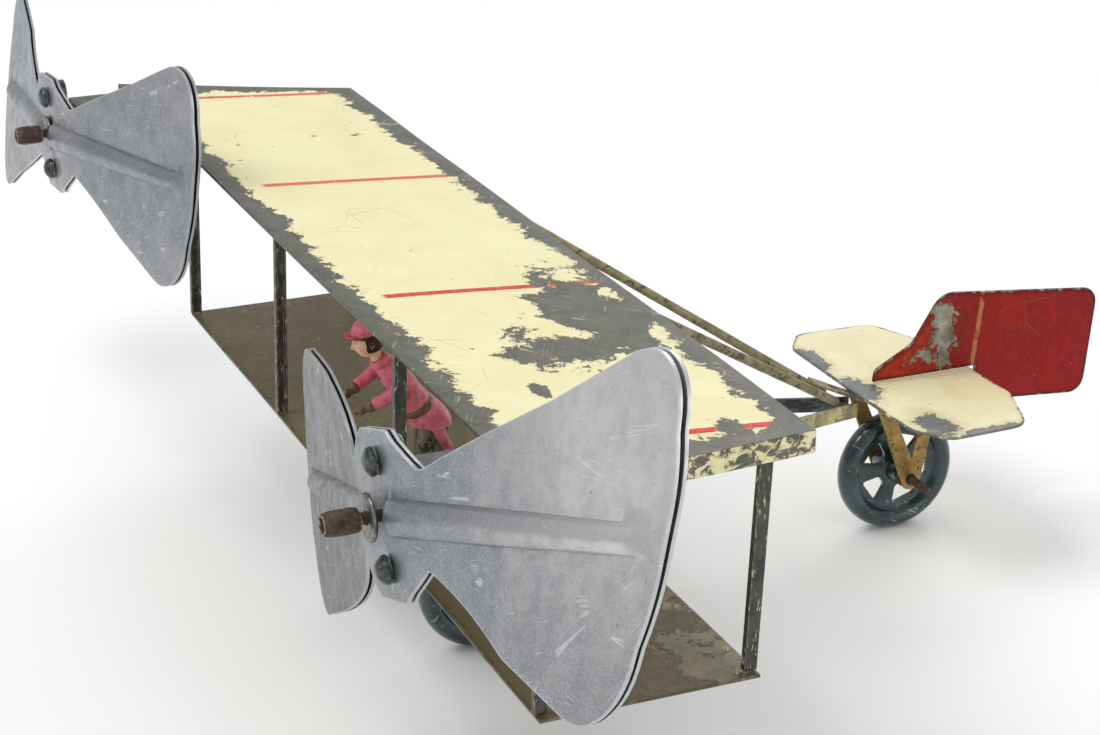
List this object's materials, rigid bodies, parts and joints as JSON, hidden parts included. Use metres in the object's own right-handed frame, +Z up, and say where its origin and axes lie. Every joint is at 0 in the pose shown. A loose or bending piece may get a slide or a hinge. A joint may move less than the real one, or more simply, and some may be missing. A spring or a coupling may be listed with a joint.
{
  "type": "biplane scale model",
  "caption": "Tinplate toy biplane with large sheet propellers ahead of the upper wing tips, a boom-carried tail with rudder, spoked wheels and a standing pilot.",
  "frame": {"origin": "bottom centre of the whole model: the floor under the wheels, in the middle of the plan", "axes": "+X along the span to the pilot's left, +Y from the propellers to the tail, +Z up"},
  "size_m": [0.3587, 0.2078, 0.1174],
  "materials": {
    "cream_paint": "cream enamel on tinplate, chipped to dark grey metal along the edges, with red cross stripes",
    "worn_tin": "olive-brown worn tinplate with pale scuffs",
    "strut_tin": "dark grey tin with remains of cream paint",
    "boom_paint": "pale olive-tan enamel, worn",
    "red_paint": "red enamel with chipped grey patches",
    "ochre_paint": "mustard enamel, worn",
    "wheel_enamel": "glossy dark blue-green enamel",
    "rusty_steel": "brown rusted steel",
    "blade_aluminium": "scratched, slightly cloudy aluminium sheet",
    "dark_steel": "darkened steel",
    "coat_paint": "dusty pink-red toy paint",
    "skin_paint": "flesh-coloured toy paint",
    "cap_paint": "pink toy paint",
    "box_tin": "grey worn tin"
  },
  "bodies": {
    "airframe": {"front_axle": "rusty_steel", "front_inner_strut_left": "strut_tin", "front_inner_strut_right": "strut_tin", "front_leg_left": "ochre_paint", "front_leg_right": "ochre_paint", "front_outer_strut_left": "strut_tin", "front_outer_strut_right": "strut_tin", "lower_boom_left": "boom_paint", "lower_boom_right": "boom_paint", "lower_wing_panel": "worn_tin", "pilot_arm_left": "coat_paint", "pilot_arm_right": "coat_paint", "pilot_cap": "cap_paint", "pilot_coat": "coat_paint", "pilot_head": "skin_paint", "pilot_leg_left": "coat_paint", "pilot_leg_right": "coat_paint", "pilot_seat_box": "box_tin", "propeller_bearing_left": "dark_steel", "propeller_bearing_right": "dark_steel", "propeller_bracket_left": "strut_tin", "propeller_bracket_right": "strut_tin", "rear_inner_strut_left": "strut_tin", "rear_inner_strut_right": "strut_tin", "rear_outer_strut_left": "strut_tin", "rear_outer_strut_right": "strut_tin", "rudder": "red_paint", "tail_axle": "rusty_steel", "tail_bracket": "boom_paint", "tail_fork_left": "ochre_paint", "tail_fork_right": "ochre_paint", "tailplane": "cream_paint", "top_wing_panel": "cream_paint", "upper_boom_left": "boom_paint", "upper_boom_right": "boom_paint"},
    "propeller_left": {"propeller_front_sheet_left": "blade_aluminium", "propeller_hub_bar_left": "dark_steel", "propeller_lower_bolt_left": "dark_steel", "propeller_rear_sheet_left": "blade_aluminium", "propeller_shaft_collar_left": "dark_steel", "propeller_shaft_left": "dark_steel", "propeller_shaft_sleeve_left": "rusty_steel", "propeller_upper_bolt_left": "dark_steel", "propeller_washer_left": "dark_steel"},
    "propeller_right": {"propeller_front_sheet_right": "blade_aluminium", "propeller_hub_bar_right": "dark_steel", "propeller_lower_bolt_right": "dark_steel", "propeller_rear_sheet_right": "blade_aluminium", "propeller_shaft_collar_right": "dark_steel", "propeller_shaft_right": "dark_steel", "propeller_shaft_sleeve_right": "rusty_steel", "propeller_upper_bolt_right": "dark_steel", "propeller_washer_right": "dark_steel"},
    "front_wheel_left_body": {"front_wheel_left": "wheel_enamel"},
    "front_wheel_right_body": {"front_wheel_right": "wheel_enamel"},
    "tail_wheel_body": {"tail_wheel": "wheel_enamel"}
  },
  "joints": [
    {"name": "propeller_left_spin", "type": "hinge", "parent": "airframe", "child": "propeller_left", "pos_m": [0.1069, -0.0939, 0.075], "axis": [0, 1, 0], "continuous": true},
    {"name": "propeller_right_spin", "type": "hinge", "parent": "airframe", "child": "propeller_right", "pos_m": [-0.1069, -0.0939, 0.075], "axis": [0, 1, 0], "continuous": true},
    {"name": "front_wheel_left_spin", "type": "hinge", "parent": "airframe", "child": "front_wheel_left_body", "pos_m": [0.0162, -0.0433, 0.0132], "axis": [1, 0, 0], "continuous": true},
    {"name": "front_wheel_right_spin", "type": "hinge", "parent": "airframe", "child": "front_wheel_right_body", "pos_m": [-0.0162, -0.0433, 0.0132], "axis": [1, 0, 0], "continuous": true},
    {"name": "tail_wheel_spin", "type": "hinge", "parent": "airframe", "child": "tail_wheel_body", "pos_m": [0, 0.0566, 0.0132], "axis": [1, 0, 0], "continuous": true}
  ]
}
